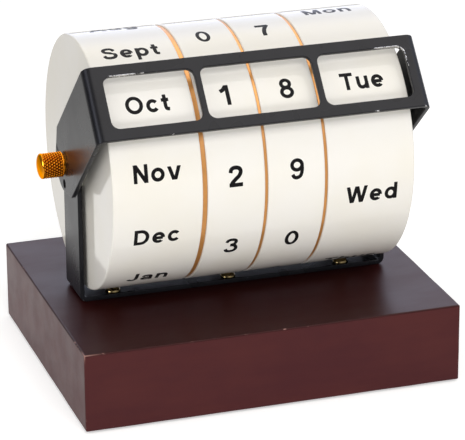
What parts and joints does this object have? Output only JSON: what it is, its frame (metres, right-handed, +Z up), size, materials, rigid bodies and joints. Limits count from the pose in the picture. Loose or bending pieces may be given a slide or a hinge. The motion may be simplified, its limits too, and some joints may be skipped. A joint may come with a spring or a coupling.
{
  "type": "perpetual desk calendar",
  "caption": "Perpetual desk calendar: coaxial date wheels on a wooden base, turned by hand to line up the date behind a tilting steel visor with windows.",
  "frame": {"origin": "centre of the underside, on the table", "axes": "+X along the axle towards the weekday wheel, -Y towards the reader, +Z up"},
  "size_m": [0.1672, 0.134, 0.1498],
  "materials": {
    "mahogany": "dark red-brown mahogany stain under satin lacquer",
    "felt": "dark green wool felt",
    "black_paint": "semi-gloss black paint, chipped to bare steel on a few edges",
    "brass": "polished brass, diamond knurling on the thumb nuts",
    "gilt": "satin gilt rim",
    "bare_steel": "turned bright steel",
    "nylon": "natural nylon",
    "cream_lacquer": "cream satin enamel with printed black lettering",
    "cream_plastic": "bare moulded cream plastic"
  },
  "bodies": {
    "stand": {"base_block": "mahogany", "felt_pad": "felt", "cradle": "black_paint", "cradle_screws": "brass", "axle_tube": "bare_steel", "tie_rod": "bare_steel", "end_washer": "nylon", "spring_washer": "bare_steel", "left_arm_washer": "nylon", "right_arm_washer": "nylon", "gilt_disc_month_tens": "gilt", "gilt_disc_tens_units": "gilt", "gilt_disc_units_weekday": "gilt"},
    "month": {"month_wheel": "cream_lacquer", "month_cap": "cream_plastic", "month_bush": "nylon"},
    "tens": {"tens_wheel": "cream_lacquer", "tens_cap": "cream_plastic", "tens_bush": "nylon"},
    "units": {"units_wheel": "cream_lacquer", "units_cap": "cream_plastic", "units_bush": "nylon"},
    "weekday": {"weekday_wheel": "cream_lacquer", "weekday_cap": "cream_plastic", "weekday_bush": "nylon"},
    "visor": {"visor": "black_paint", "left_nut_washer": "brass", "right_nut_washer": "brass"},
    "left_nut": {"left_thumb_nut": "brass"},
    "right_nut": {"right_thumb_nut": "brass"}
  },
  "joints": [
    {"name": "month_spin", "type": "hinge", "parent": "stand", "child": "month", "pos_m": [-0.0466, 0, 0.095], "axis": [1, 0, 0], "continuous": true},
    {"name": "tens_spin", "type": "hinge", "parent": "stand", "child": "tens", "pos_m": [-0.0128, 0, 0.095], "axis": [1, 0, 0], "continuous": true},
    {"name": "units_spin", "type": "hinge", "parent": "stand", "child": "units", "pos_m": [0.0135, 0, 0.095], "axis": [1, 0, 0], "continuous": true},
    {"name": "weekday_spin", "type": "hinge", "parent": "stand", "child": "weekday", "pos_m": [0.0466, 0, 0.095], "axis": [1, 0, 0], "continuous": true},
    {"name": "visor_tilt", "type": "hinge", "parent": "stand", "child": "visor", "pos_m": [0, 0, 0.095], "axis": [1, 0, 0], "range_deg": [-190, 93]},
    {"name": "left_nut_turn", "type": "hinge", "parent": "stand", "child": "left_nut", "pos_m": [-0.078, 0, 0.095], "axis": [-1, 0, 0], "continuous": true},
    {"name": "right_nut_turn", "type": "hinge", "parent": "stand", "child": "right_nut", "pos_m": [0.078, 0, 0.095], "axis": [1, 0, 0], "continuous": true}
  ]
}
